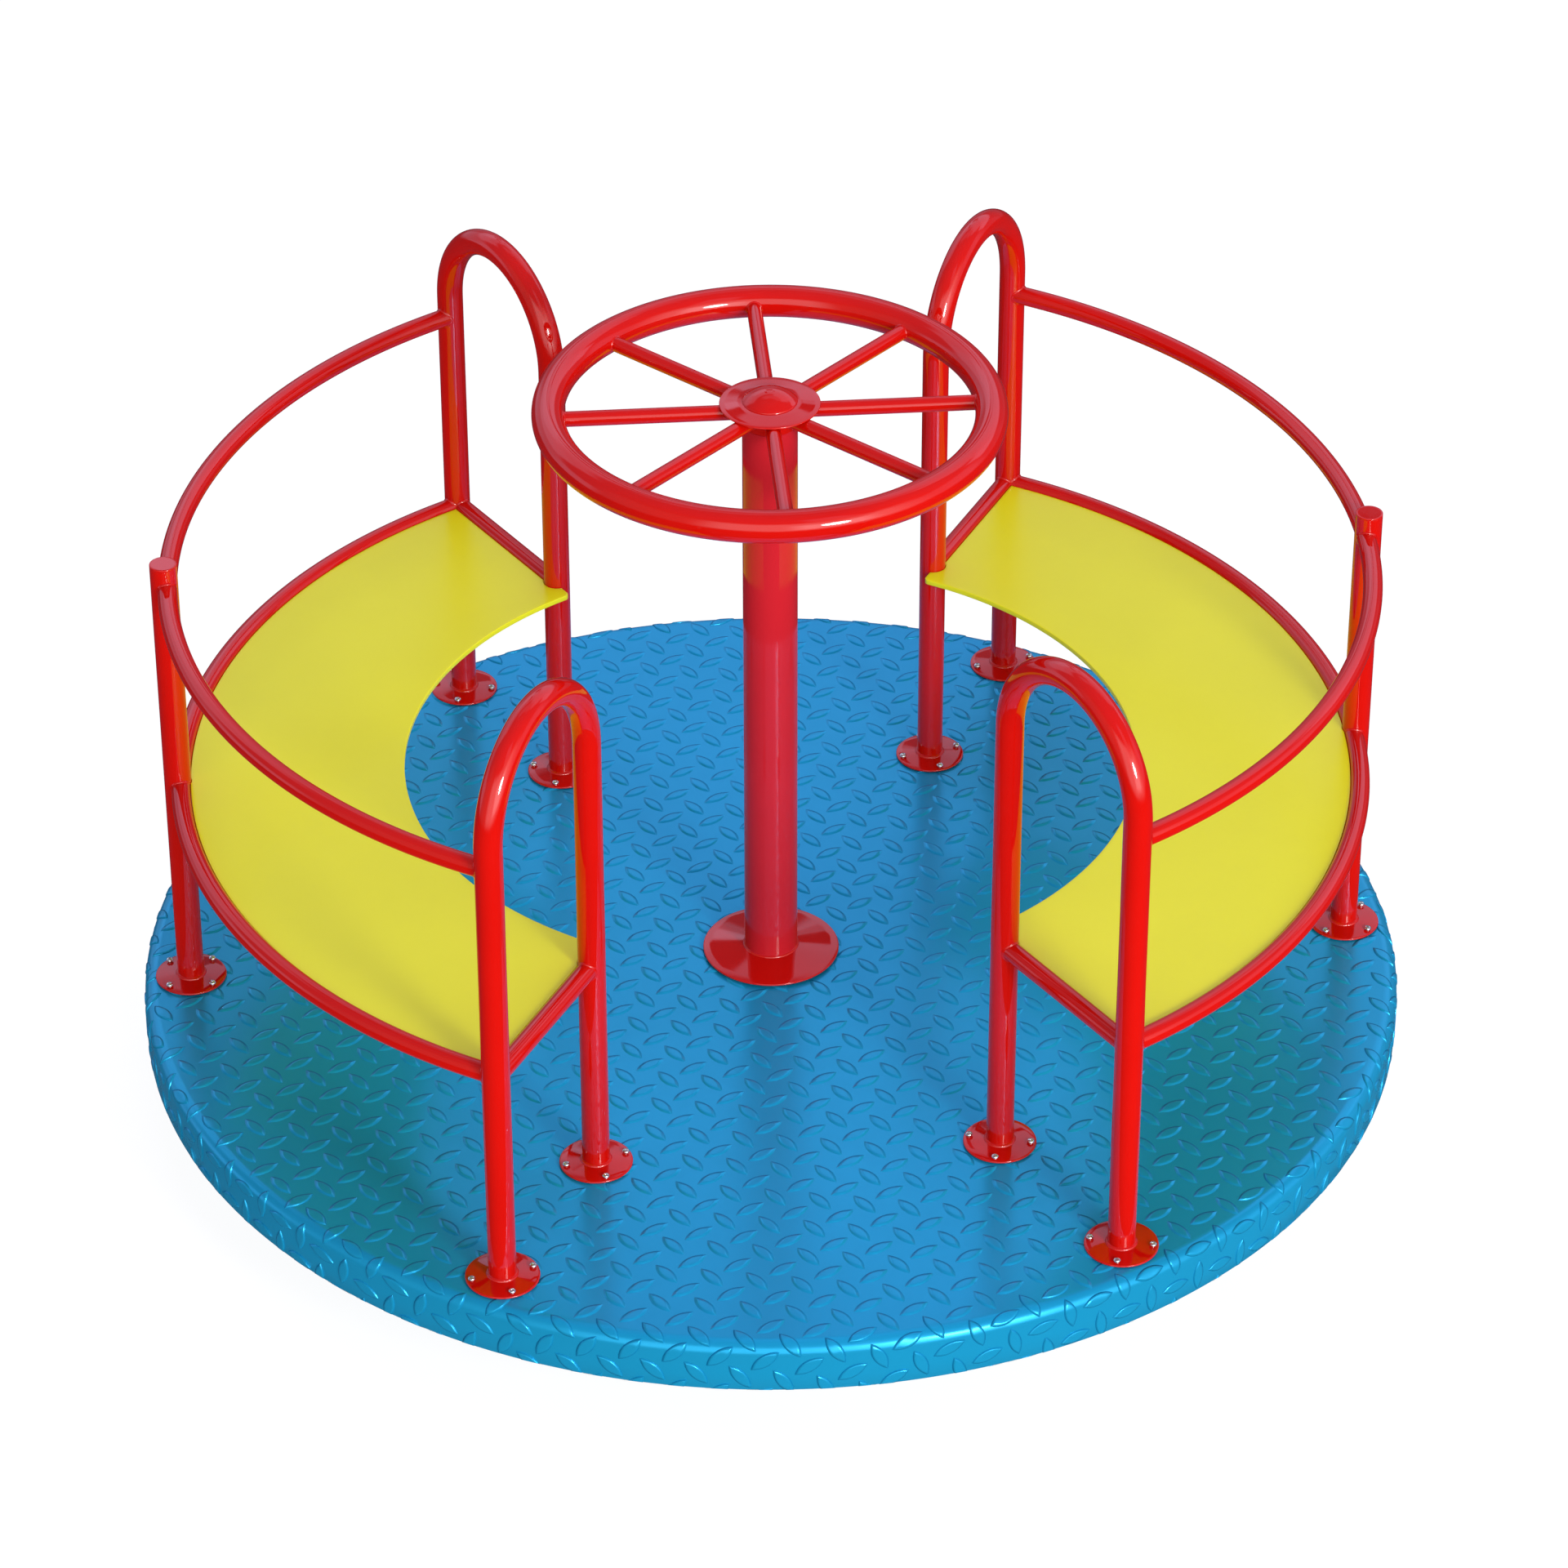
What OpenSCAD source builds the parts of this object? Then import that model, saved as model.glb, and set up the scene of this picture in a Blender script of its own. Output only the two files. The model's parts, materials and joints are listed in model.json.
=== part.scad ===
// Playground roundabout: a tread-plate platform with two curved seats, four
// hoop handrails and back rails turns on two ball bearings about a fixed
// column that carries a hand wheel.
// Millimetres. +Z up. The origin is on the ground, in the middle of the base
// plate. The seats face each other along X; the open ways on are at +Y and -Y.

/* [Platform] */
// Outer diameter of the platform
deck_d = 1800; // [1780:5:1840]
// Height of the walking surface above the ground
deck_z = 170; // [168:1:180]
// Thickness of the tread plate
deck_t = 4; // [3:0.5:5]
// Depth of the turned-down skirt
skirt_h = 75; // [70:1:85]
// Outer radius of the platform's rounded rim
rim_r = 20; // [16:1:22]
// Diameter of the service opening round the column
deck_hole_d = 120; // [112:1:140]

/* [Hoops and posts] */
// Outer diameter of the hoop and post tubes
tube_d = 38; // [34:0.5:42]
// Wall of the hoop and post tubes
tube_wall = 2.6; // [2:0.1:3.2]
// Radius from the centre to the outer hoop legs and the middle posts
leg_out_r = 832; // [826:1:840]
// Radius from the centre to the inner hoop legs
leg_in_r = 556; // [540:1:570]
// Angle between a seat's centre line and the hoops at its ends
hoop_a = 60; // [60:1:60]
// Height of the start of the hoop bend above the deck
bend_h = 690; // [670:1:720]
// Height of the middle posts above the deck
post_h = 693; // [685:1:720]

/* [Rails] */
// Outer diameter of the back, seat and end rails
rail_d = 26.9; // [25:0.1:28]
// Wall of the rails
rail_wall = 2.3; // [1.5:0.1:3]
// Centre line radius of the curved rails
rail_r = 828; // [822:1:834]
// Height of the upper back rail above the deck
back_h = 657.4; // [640:0.2:665]
// Height of the seat rails above the deck
seat_h = 331.4; // [320:0.2:345]

/* [Seats] */
// Thickness of a seat board
seat_t = 8; // [6:0.5:10]
// Radius of the seat's inner edge
seat_in_r = 515; // [505:1:525]
// Radius of the seat's inner corners
seat_corner_r = 7; // [4:0.5:9]
// Gap between the seat board and the tubes
seat_gap = 0.3; // [0.3:0.1:1]

/* [Hand wheel] */
// Centre line radius of the wheel's rim
wheel_r = 301; // [290:1:315]
// Outer diameter of the wheel's rim tube
wheel_tube_d = 45; // [42:0.5:48]
// Height of the wheel's rim above the deck
wheel_h = 896.5; // [880:0.5:915]
// Number of spokes
spoke_n = 8; // [6:1:10]
// Outer diameter of a spoke
spoke_d = 21.3; // [20:0.1:22]
// Diameter of the disc over the spokes
hub_disc_d = 138; // [130:1:150]
// Height of the domed cap
dome_h = 16; // [15:0.5:18]

/* [Column] */
// Outer diameter of the column
column_d = 76.1; // [76:0.1:76.6]
// Wall of the column
column_wall = 6; // [5:0.1:7]
// Diameter of the round cover at the foot of the column
cover_d = 195; // [185:1:210]
// Gap between the cover and the walking surface
cover_gap = 2; // [1.5:0.1:3]

/* [Base] */
// Diameter of the base plate
base_d = 520; // [500:1:560]
// Thickness of the base plate
base_t = 12; // [10:0.5:14]
// Pitch circle of the anchor holes
anchor_pcd = 420; // [400:1:440]
// Diameter of an anchor hole
anchor_d = 22; // [18:0.5:24]
// Number of anchor holes
anchor_n = 4; // [4:1:4]

/* [Bearings] */
// Bore of the ball bearings
brg_bore = 80; // [80:1:80]
// Outer diameter of the ball bearings
brg_od = 140; // [140:1:140]
// Width of a ball bearing
brg_w = 26; // [26:1:26]
// Diameter of the balls
ball_d = 18.4; // [18:0.1:18.6]
// Number of balls in a bearing
ball_n = 11; // [9:1:12]
// Height of the lower bearing's underside above the ground
brg_low_z = 46; // [46:1:48]
// Height of the upper bearing's underside above the ground
brg_up_z = 126; // [124:1:128]

/* [Fasteners] */
// Thread diameter of the flange screws
screw_d = 6; // [5:0.5:6]
// Head diameter of the flange screws
screw_head_d = 10; // [9:0.1:10.5]
// Radius of the screw circle on a leg flange
screw_pr = 43; // [41:0.5:43.5]
// Diameter of a leg flange
flange_d = 101; // [99:0.5:104]

/* [Hidden] */

RED = [0.80, 0.06, 0.08];
YELLOW = [0.86, 0.83, 0.20];
BLUE = [0.13, 0.52, 0.76];
STEEL = [0.72, 0.73, 0.75];
ZINC = [0.60, 0.62, 0.64];
DARK = [0.16, 0.16, 0.17];

e = 0.01;
deck_r = deck_d / 2;
tube_r = tube_d / 2;
rail_q = rail_d / 2;
col_r = column_d / 2;
back_z = deck_z + back_h;
seat_z = deck_z + seat_h;            // middle of the seat rails and boards
wheel_z = deck_z + wheel_h;
hoop_mid_r = (leg_out_r + leg_in_r) / 2;
hoop_half = (leg_out_r - leg_in_r) / 2;
post_a = [0, 180];                   // middle posts, left seat at 180
leg_a = [60, 120, 240, 300];         // hoops
beam_a = [0, 60, 120, 180, 240, 300];
plate_under = deck_z - deck_t;       // underside of the tread plate
beam_w = 40;
beam_h = 50;
ring_t = 6;                          // flat bar round the rim
ring_r = deck_r - rim_r;             // outside of the rim's flat bar
hub_r = 84.15;                       // outside of the hub tube
brg_pr = (brg_bore + brg_od) / 4;    // pitch radius of the balls
race_r = ball_d / 2 + 0.35;          // groove radius
land_in = 50.5;                      // outside of the inner rings
land_out = 59.5;                     // inside of the outer rings
spoke_z = wheel_z - 1;
disc_z = spoke_z + spoke_d / 2;      // underside of the hub disc
disc_rim = 2.5;
disc_rise = 2.8;
dome_z = disc_z + disc_rim + disc_rise;
column_top = spoke_z - 18;
flange_rim = 3.2;                    // leg flange thickness at its rim
flange_top = 6;                      // and at the tube
flange_slope = (flange_top - flange_rim) / (flange_d / 2 - tube_r);
screw_seat = deck_z + flange_top - (screw_pr - tube_r) * flange_slope;
screw_neck = 2.6;                    // the heads stand off by this much
head_h = 3.2;
nut_plate_t = 6;
screw_off = screw_pr * sin(45);

// every leg and post foot: [radius, angle]
feet = concat([for (a = leg_a) [leg_out_r, a]], [for (a = leg_a) [leg_in_r, a]],
              [for (a = post_a) [leg_out_r, a]]);

module at(r, a, z = 0) { rotate([0, 0, a]) translate([r, 0, z]) children(); }
module disc(r, h, z = 0, f = 96) { translate([0, 0, z]) cylinder(r = r, h = h, $fn = f); }
module ring(r1, r2, h, z = 0, f = 96) {
  translate([0, 0, z]) difference() {
    cylinder(r = r2, h = h, $fn = f);
    translate([0, 0, -1]) cylinder(r = r1, h = h + 2, $fn = f);
  }
}
// a round tube bent along an arc about Z, from angle a0 to a1
module tube_arc(r, z, d, wall, a0, a1, f = 180) {
  translate([0, 0, z]) rotate([0, 0, a0])
    rotate_extrude(angle = a1 - a0, $fn = f) translate([r, 0]) difference() {
      circle(d = d, $fn = 48);
      circle(d = d - 2 * wall, $fn = 48);
    }
}
// a straight tube along +X from x0 to x1
module tube_x(x0, x1, d, wall) {
  translate([x0, 0, 0]) rotate([0, 90, 0]) difference() {
    cylinder(d = d, h = x1 - x0, $fn = 48);
    translate([0, 0, -1]) cylinder(d = d - 2 * wall, h = x1 - x0 + 2, $fn = 48);
  }
}

// ---------------------------------------------------------------- base ----
module base_plate() {
  color(ZINC) difference() {
    disc(base_d / 2, base_t, 0, 180);
    for (i = [0 : anchor_n - 1]) at(anchor_pcd / 2, i * 360 / anchor_n, -1)
      cylinder(d = anchor_d, h = base_t + 2, $fn = 48);
  }
}

module base_gussets() {
  color(ZINC) for (i = [0 : 3]) rotate([0, 0, 45 + i * 90])
    translate([0, 4, 0]) rotate([90, 0, 0]) linear_extrude(8)
      polygon([[47, base_t], [base_d / 2 - 12, base_t], [base_d / 2 - 12, base_t + 6],
               [72, base_t + 22], [47, base_t + 22]]);
}

// turned sleeve on the column: a shoulder below, bearing seats above
module bearing_carrier() {
  color(STEEL) rotate_extrude($fn = 96)
    polygon([[col_r, base_t], [47, base_t], [47, brg_low_z], [brg_bore / 2, brg_low_z],
             [brg_bore / 2, brg_up_z + brg_w + 14], [col_r, brg_up_z + brg_w + 14]]);
}

module column() {
  color(RED) ring(col_r - column_wall, col_r, column_top - base_t, base_t);
}

// ------------------------------------------------------------ bearings ----
module inner_race(z) {
  translate([0, 0, z]) rotate_extrude($fn = 96) difference() {
    translate([brg_bore / 2, 0]) square([land_in - brg_bore / 2, brg_w]);
    translate([brg_pr, brg_w / 2]) circle(race_r, $fn = 48);
  }
}
module outer_race(z) {
  translate([0, 0, z]) rotate_extrude($fn = 96) difference() {
    translate([land_out, 0]) square([brg_od / 2 - land_out, brg_w]);
    translate([brg_pr, brg_w / 2]) circle(race_r, $fn = 48);
  }
}
module balls(z) {
  for (i = [0 : ball_n - 1]) at(brg_pr, i * 360 / ball_n, z + brg_w / 2)
    sphere(d = ball_d, $fn = 40);
}
module ball_cage(z) {
  difference() {
    ring(51.6, 58.4, 14, z + brg_w / 2 - 7);
    for (i = [0 : ball_n - 1]) at(brg_pr, i * 360 / ball_n, z + brg_w / 2)
      sphere(d = ball_d + 0.3, $fn = 40);
  }
}
module lower_inner_race() { color(STEEL) inner_race(brg_low_z); }
module upper_inner_race() { color(STEEL) inner_race(brg_up_z); }
module lower_outer_race() { color(STEEL) outer_race(brg_low_z); }
module upper_outer_race() { color(STEEL) outer_race(brg_up_z); }
module lower_balls() { color(STEEL) balls(brg_low_z); }
module upper_balls() { color(STEEL) balls(brg_up_z); }
module lower_ball_cage() { color([0.78, 0.62, 0.30]) ball_cage(brg_low_z); }
module upper_ball_cage() { color([0.78, 0.62, 0.30]) ball_cage(brg_up_z); }

module inner_spacer() {
  color(ZINC) ring(brg_bore / 2, 46, brg_up_z - brg_low_z - brg_w, brg_low_z + brg_w);
}
// two shields in each bearing, held by the outer ring
module bearing_shields() {
  color(DARK) for (z = [brg_low_z, brg_up_z]) for (s = [0.6, brg_w - 1.6])
    ring(land_in + 0.6, land_out, 1, z + s);
}
module lock_washer() {
  color(ZINC) union() {
    ring(brg_bore / 2, 49.5, 1.5, brg_up_z + brg_w);
    for (i = [0 : 3]) rotate([0, 0, 20 + i * 90]) translate([47.2, -3, brg_up_z + brg_w])
      cube([3.6, 6, 1.5]);
  }
}
module lock_nut() {
  z = brg_up_z + brg_w + 1.5;
  color(ZINC) difference() {
    ring(brg_bore / 2, 52, 11.5, z);
    for (i = [0 : 3]) rotate([0, 0, 45 + i * 90]) translate([48.4, -4, z - 1])
      cube([6, 8, 14]);
  }
}

// ----------------------------------------------------------- hand wheel ---
module column_cover() {
  z = deck_z + cover_gap;
  r = cover_d / 2;
  color(RED) rotate_extrude($fn = 180) difference() {
    union() {
      polygon([[col_r, z], [r - 1.6, z], [r - 1.6, z + 3.2], [col_r, z + 8.2]]);
      translate([r - 1.6, z + 1.6]) circle(1.6, $fn = 32);
    }
    translate([col_r - 5, z - 1]) square([5, 14]);
  }
}

// plug welded into the top of the column: locates and bolts the wheel
module column_insert() {
  color(ZINC) difference() {
    union() {
      disc(col_r - column_wall, 40, column_top - 40);
      disc(27, 22, column_top);
    }
    disc(6, 64, column_top - 41, 48);
    translate([19, -4, column_top + 2]) cube([12, 8, 24]);
  }
}
module wheel_key() {
  color(STEEL) translate([19, -4, column_top + 2]) cube([11, 8, 18]);
}
module wheel_hub() {
  color(RED) difference() {
    ring(27.05, col_r, disc_z - column_top - 0.3, column_top + 0.3);
    translate([22, -4, column_top - 1]) cube([8.2, 8, 40]);
  }
}
module wheel_rim() {
  color(RED) tube_arc(wheel_r, wheel_z, wheel_tube_d, 2.9, 0, 360);
}
module wheel_spokes() {
  color(RED) difference() {
    for (i = [0 : spoke_n - 1]) rotate([0, 0, i * 360 / spoke_n])
      translate([0, 0, spoke_z]) tube_x(col_r - 3, wheel_r, spoke_d, 2.6);
    disc(col_r, 60, spoke_z - 30);
    translate([0, 0, wheel_z]) rotate_extrude($fn = 180) translate([wheel_r, 0])
      circle(d = wheel_tube_d, $fn = 48);
  }
}
module hub_disc() {
  r = hub_disc_d / 2;
  color(RED) rotate_extrude($fn = 180) difference() {
    union() {
      polygon([[6.5, disc_z], [r - 1.2, disc_z], [r - 1.2, disc_z + disc_rim],
               [col_r, disc_z + disc_rim + disc_rise], [6.5, disc_z + disc_rim + disc_rise]]);
      translate([r - 1.25, disc_z + 1.25]) circle(1.25, $fn = 32);
    }
    translate([0, disc_z + 2]) square([col_r - 6, 10]);
  }
}
module hub_washer() { color(ZINC) ring(6.5, 15, 2.5, disc_z + 2); }
module hub_bolt() {
  z = disc_z + 4.5;
  color(ZINC) union() {
    translate([0, 0, z]) cylinder(d = 18 / cos(30), h = 7.5, $fn = 6);
    disc(6, 60, z - 60, 48);
  }
}
module dome_cap() {
  land = 1;
  h = dome_h - land;
  R = (col_r * col_r + h * h) / (2 * h);
  zc = dome_z + dome_h - R;
  color(RED) difference() {
    intersection() {
      translate([0, 0, zc]) sphere(R, $fn = 180);
      translate([0, 0, dome_z]) cylinder(r = col_r, h = dome_h + 5, $fn = 96);
    }
    intersection() {
      translate([0, 0, zc]) sphere(R - 2, $fn = 180);
      translate([0, 0, dome_z - 1]) cylinder(r = col_r - 1.8, h = dome_h + 5, $fn = 96);
    }
  }
}

// ------------------------------------------------------- rotating frame ---
module hub_tube() {
  z0 = brg_low_z - 6;
  z1 = plate_under;
  color(ZINC) difference() {
    rotate_extrude($fn = 120) polygon([[brg_od / 2, z0], [hub_r, z0], [hub_r, z1],
      [brg_od / 2, z1], [brg_od / 2, brg_up_z], [64, brg_up_z],
      [64, brg_low_z + brg_w], [brg_od / 2, brg_low_z + brg_w]]);
    rotate([0, 0, 15]) translate([60, 0, 86]) rotate([0, 90, 0])
      cylinder(d = 6, h = 30, $fn = 32);
  }
}
module hub_ring_plate() {
  color(ZINC) ring(hub_r, 230, 6, plate_under - beam_h - 6, 180);
}
module lower_hub_seal() { color(DARK) ring(48, brg_od / 2, 5, brg_low_z - 5.5); }
module upper_hub_seal() { color(DARK) ring(53, brg_od / 2, 5, brg_up_z + brg_w + 0.5); }
module grease_nipple() {
  color(STEEL) rotate([0, 0, 15]) translate([0, 0, 86]) rotate([0, 90, 0]) difference() {
    union() {
      translate([0, 0, 70]) cylinder(d = 6, h = 16, $fn = 32);
      translate([0, 0, hub_r]) cylinder(d = 9 / cos(30), h = 5, $fn = 6);
      translate([0, 0, hub_r + 5]) cylinder(d = 4.6, h = 4, $fn = 32);
      translate([0, 0, hub_r + 9]) sphere(d = 6.4, $fn = 32);
    }
    translate([0, 0, 69]) cylinder(d = 1.6, h = 40, $fn = 24);
  }
}
module radial_beams() {
  z0 = plate_under - beam_h;
  color(ZINC) difference() {
    for (a = beam_a) rotate([0, 0, a]) translate([70, -beam_w / 2, z0]) difference() {
      cube([ring_r - ring_t - 70, beam_w, beam_h]);
      translate([-1, 3, 3]) cube([1000, beam_w - 6, beam_h - 6]);
    }
    disc(hub_r, 300, 0, 120);
    // square cut to the flat bar's inside
    difference() {
      disc(ring_r + 40, 300, 0, 180);
      disc(ring_r - ring_t, 302, -1, 180);
    }
  }
}
module deck_ribs() {
  color(ZINC) difference() {
    for (i = [0 : 5]) rotate([0, 0, 30 + 60 * i]) translate([70, -3, plate_under - 40])
      cube([ring_r - ring_t - 70, 6, 40]);
    disc(hub_r, 300, 0, 120);
    difference() {
      disc(ring_r + 40, 300, 0, 180);
      disc(ring_r - ring_t, 302, -1, 180);
    }
  }
}
module rim_ring() {
  color(ZINC) ring(ring_r - ring_t, ring_r, 60, plate_under - 60, 180);
}
module nut_plates() {
  color(ZINC) for (f = feet) at(f[0], f[1], plate_under - nut_plate_t) for (s = [-1, 1])
    difference() {
      translate([-40, s > 0 ? beam_w / 2 : -40, 0])
        cube([f[0] > 700 ? 78 : 80, 40 - beam_w / 2, nut_plate_t]);
      for (t = [-1, 1]) translate([t * screw_off, s * screw_off, -1])
        cylinder(d = screw_d, h = nut_plate_t + 2, $fn = 24);
      // clear of the flat bar at the rim
      translate([-f[0], 0, -1]) difference() {
        cylinder(r = ring_r + 60, h = nut_plate_t + 2, $fn = 180);
        translate([0, 0, -1]) cylinder(r = ring_r - ring_t, h = nut_plate_t + 4, $fn = 180);
      }
    }
}
module deck() {
  color(BLUE) difference() {
    ring(deck_hole_d / 2, deck_r - rim_r, deck_t, plate_under, 240);
    for (f = feet) at(f[0], f[1], plate_under - 1) for (s = [-1, 1]) for (t = [-1, 1])
      translate([t * screw_off, s * screw_off, 0])
        cylinder(d = screw_d + 0.6, h = deck_t + 2, $fn = 24);
  }
}
// rounded edge and turned-down skirt
module deck_rim() {
  color(BLUE) rotate_extrude($fn = 240) union() {
    translate([deck_r - deck_t, deck_z - skirt_h]) square([deck_t, skirt_h - rim_r]);
    translate([deck_r - rim_r, deck_z - rim_r]) intersection() {
      difference() {
        circle(rim_r, $fn = 96);
        circle(rim_r - deck_t, $fn = 96);
      }
      square(rim_r + 1);
    }
  }
}

// -------------------------------------------------------- hoops, posts ----
// inverted U of tube standing in a radial plane, feet on the deck
module hoop(a) {
  difference() {
    rotate([0, 0, a]) union() {
      translate([hoop_mid_r, 0, deck_z + bend_h]) rotate([90, 0, 0])
        rotate_extrude(angle = 180, $fn = 120) translate([hoop_half, 0])
          circle(d = tube_d, $fn = 48);
      for (r = [leg_in_r, leg_out_r]) translate([r, 0, deck_z])
        cylinder(d = tube_d, h = bend_h, $fn = 48);
    }
    rotate([0, 0, a]) union() {
      translate([hoop_mid_r, 0, deck_z + bend_h]) rotate([90, 0, 0])
        rotate_extrude(angle = 180, $fn = 120) translate([hoop_half, 0])
          circle(d = tube_d - 2 * tube_wall, $fn = 48);
      for (r = [leg_in_r, leg_out_r]) translate([r, 0, deck_z - 1])
        cylinder(d = tube_d - 2 * tube_wall, h = bend_h + 1, $fn = 48);
    }
  }
}
module hoop_rear_right() { color(RED) hoop(60); }
module hoop_rear_left() { color(RED) hoop(120); }
module hoop_front_left() { color(RED) hoop(240); }
module hoop_front_right() { color(RED) hoop(300); }

module mid_post(a) {
  at(leg_out_r, a) ring(tube_r - tube_wall, tube_r, post_h - 2.5, deck_z, 48);
}
module mid_post_left() { color(RED) mid_post(180); }
module mid_post_right() { color(RED) mid_post(0); }
// pressed-in caps with a flat top and a small rounded edge
module post_caps() {
  z = deck_z + post_h;
  color(RED) for (a = post_a) at(leg_out_r, a) rotate_extrude($fn = 48) union() {
    translate([0, z - 2.5]) square([tube_r - 1.2, 2.5]);
    translate([0, z - 2.5]) square([tube_r, 1.3]);
    translate([tube_r - 1.2, z - 1.2]) circle(1.2, $fn = 24);
    translate([0, z - 14]) square([tube_r - tube_wall, 12]);
  }
}
module leg_flanges() {
  color(RED) for (f = feet) at(f[0], f[1], deck_z) difference() {
    rotate_extrude($fn = 96) difference() {
      union() {
        polygon([[tube_r, 0], [flange_d / 2 - 1.6, 0], [flange_d / 2 - 1.6, flange_rim],
                 [tube_r, flange_top]]);
        translate([flange_d / 2 - 1.6, 1.6]) circle(1.6, $fn = 32);
      }
      translate([0, -1]) square([tube_r, 20]);
    }
    for (i = [0 : 3]) rotate([0, 0, 45 + 90 * i]) translate([screw_pr, 0, -1])
      cylinder(d = screw_d + 0.6, h = 10, $fn = 24);
  }
}
// button heads on a plain neck, shanks down through the deck into the nut plates
module flange_screws() {
  n = screw_seat - deck_z + screw_neck;
  color(STEEL) for (f = feet) at(f[0], f[1], deck_z) for (i = [0 : 3])
    rotate([0, 0, 45 + 90 * i]) translate([screw_pr, 0, 0]) difference() {
      union() {
        translate([0, 0, -12]) cylinder(d = screw_d, h = n + 12.5, $fn = 24);
        intersection() {
          translate([0, 0, n + head_h - 7]) sphere(r = 7, $fn = 64);
          translate([0, 0, n]) cylinder(d = screw_head_d, h = head_h + 1, $fn = 48);
        }
      }
      translate([0, 0, n + head_h - 1.9]) cylinder(d = 4 / cos(30), h = 3, $fn = 6);
    }
}

// ----------------------------------------------------------------- rails --
module legs_solid(r, list) {
  for (a = list) at(r, a, deck_z) cylinder(d = tube_d, h = 900, $fn = 48);
}
// curved rail in two lengths, coped to the hoops and the middle post
module curved_rail(c, z) {
  difference() {
    for (s = [0, 1]) rotate([0, 0, c - 60 + 60 * s])
      tube_arc(rail_r, z, rail_d, rail_wall, 0.3, 59.7);
    legs_solid(leg_out_r, [c - 60, c, c + 60]);
  }
}
module back_rail_left() { color(RED) curved_rail(180, back_z); }
module back_rail_right() { color(RED) curved_rail(0, back_z); }
module seat_rail_left() { color(RED) curved_rail(180, seat_z); }
module seat_rail_right() { color(RED) curved_rail(0, seat_z); }
module end_rails() {
  color(RED) difference() {
    for (a = leg_a) rotate([0, 0, a]) translate([0, 0, seat_z])
      tube_x(leg_in_r + 5, leg_out_r - 5, rail_d, rail_wall);
    legs_solid(leg_out_r, leg_a);
    legs_solid(leg_in_r, leg_a);
    // coped to the seat rails too
    for (c = post_a) translate([0, 0, seat_z]) rotate([0, 0, c - 62])
      rotate_extrude(angle = 124, $fn = 240) translate([rail_r, 0])
        circle(d = rail_d + 0.1, $fn = 48);
  }
}

// ----------------------------------------------------------------- seats --
seat_out_r = rail_r - rail_q - seat_gap;
end_off = rail_q + seat_gap;         // seat end to the end rail's centre line
lobe_off = 4;                        // corner lobe to the hoop's centre line
fil_v = lobe_off + seat_corner_r;    // centre of the corner's rounding
fil_u = sqrt(pow(seat_in_r + seat_corner_r, 2) - fil_v * fil_v);

// outline of the seat at +X, end lines parallel to the hoops' radial planes
module seat_outline() {
  difference() {
    intersection() {
      difference() {
        circle(seat_out_r, $fn = 240);
        circle(seat_in_r, $fn = 240);
      }
      union() {
        // the board between the end rails
        polygon([[end_off / sin(hoop_a), 0],
          [600 + end_off * sin(hoop_a), -(600 * tan(hoop_a) - end_off * cos(hoop_a))],
          [1500, -(600 * tan(hoop_a) - end_off * cos(hoop_a))],
          [1500, 600 * tan(hoop_a) - end_off * cos(hoop_a)],
          [600 + end_off * sin(hoop_a), 600 * tan(hoop_a) - end_off * cos(hoop_a)]]);
        // a lobe round the inner side of each inner hoop leg
        for (s = [-1, 1]) scale([1, s]) rotate(hoop_a)
          translate([400, -end_off - 20]) square([leg_in_r - 400, end_off + 20 - lobe_off]);
      }
    }
    for (s = [-1, 1]) rotate(s * hoop_a) {
      translate([leg_in_r, 0]) circle(tube_r + seat_gap, $fn = 48);
      translate([leg_out_r, 0]) circle(tube_r + seat_gap, $fn = 48);
    }
    translate([leg_out_r, 0]) circle(tube_r + seat_gap, $fn = 48);
    // round the inner corners
    for (s = [-1, 1]) scale([1, s]) rotate(hoop_a) difference() {
      polygon([[fil_u, -fil_v], [fil_u, -lobe_off + 4], [fil_u - 30, -lobe_off + 4],
               [(fil_u) * (seat_in_r - 5) / (seat_in_r + seat_corner_r),
                -fil_v * (seat_in_r - 5) / (seat_in_r + seat_corner_r)]]);
      translate([fil_u, -fil_v]) circle(seat_corner_r, $fn = 48);
    }
  }
}
module seat(a) {
  difference() {
    rotate([0, 0, a]) translate([0, 0, seat_z - seat_t / 2]) linear_extrude(seat_t) seat_outline();
    seat_holes(a);
  }
}
// bracket angles about the seat's centre line, and the screws on each bracket
brk_a = [-40, 0, 40];
brk_pts = [[600, 8.5], [740, -8.5]];
module seat_holes(a) {
  for (b = brk_a) for (p = brk_pts) rotate([0, 0, a + b])
    translate([p[0], p[1], seat_z - seat_t / 2 - 1]) cylinder(d = 6.4, h = 6.5, $fn = 24);
}
module seat_left() { color(YELLOW) seat(180); }
module seat_right() { color(YELLOW) seat(0); }
// T-section arms under the boards, coped to the seat rails and middle posts
module seat_brackets() {
  zt = seat_z - seat_t / 2;
  color(RED) difference() {
    for (a = post_a) for (b = brk_a) rotate([0, 0, a + b]) difference() {
      union() {
        translate([545, -15, zt - 4]) cube([rail_r - 545, 30, 4]);
        translate([0, 2, zt - 4]) rotate([90, 0, 0]) linear_extrude(4)
          polygon([[556, 0], [rail_r, 0], [rail_r, -4], [rail_r - 30, -16], [640, -16], [556, -5]]);
      }
      for (p = brk_pts) translate([p[0], p[1], zt - 10]) cylinder(d = 6.6, h = 20, $fn = 24);
    }
    for (a = post_a) translate([0, 0, seat_z]) rotate([0, 0, a - 61]) rotate_extrude(angle = 122, $fn = 240)
      translate([rail_r, 0]) circle(d = rail_d, $fn = 48);
    legs_solid(leg_out_r, post_a);
    // nothing outside the rails' centre line
    difference() {
      disc(950, 60, seat_z - 50, 180);
      disc(rail_r, 62, seat_z - 51, 240);
    }
  }
}
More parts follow.
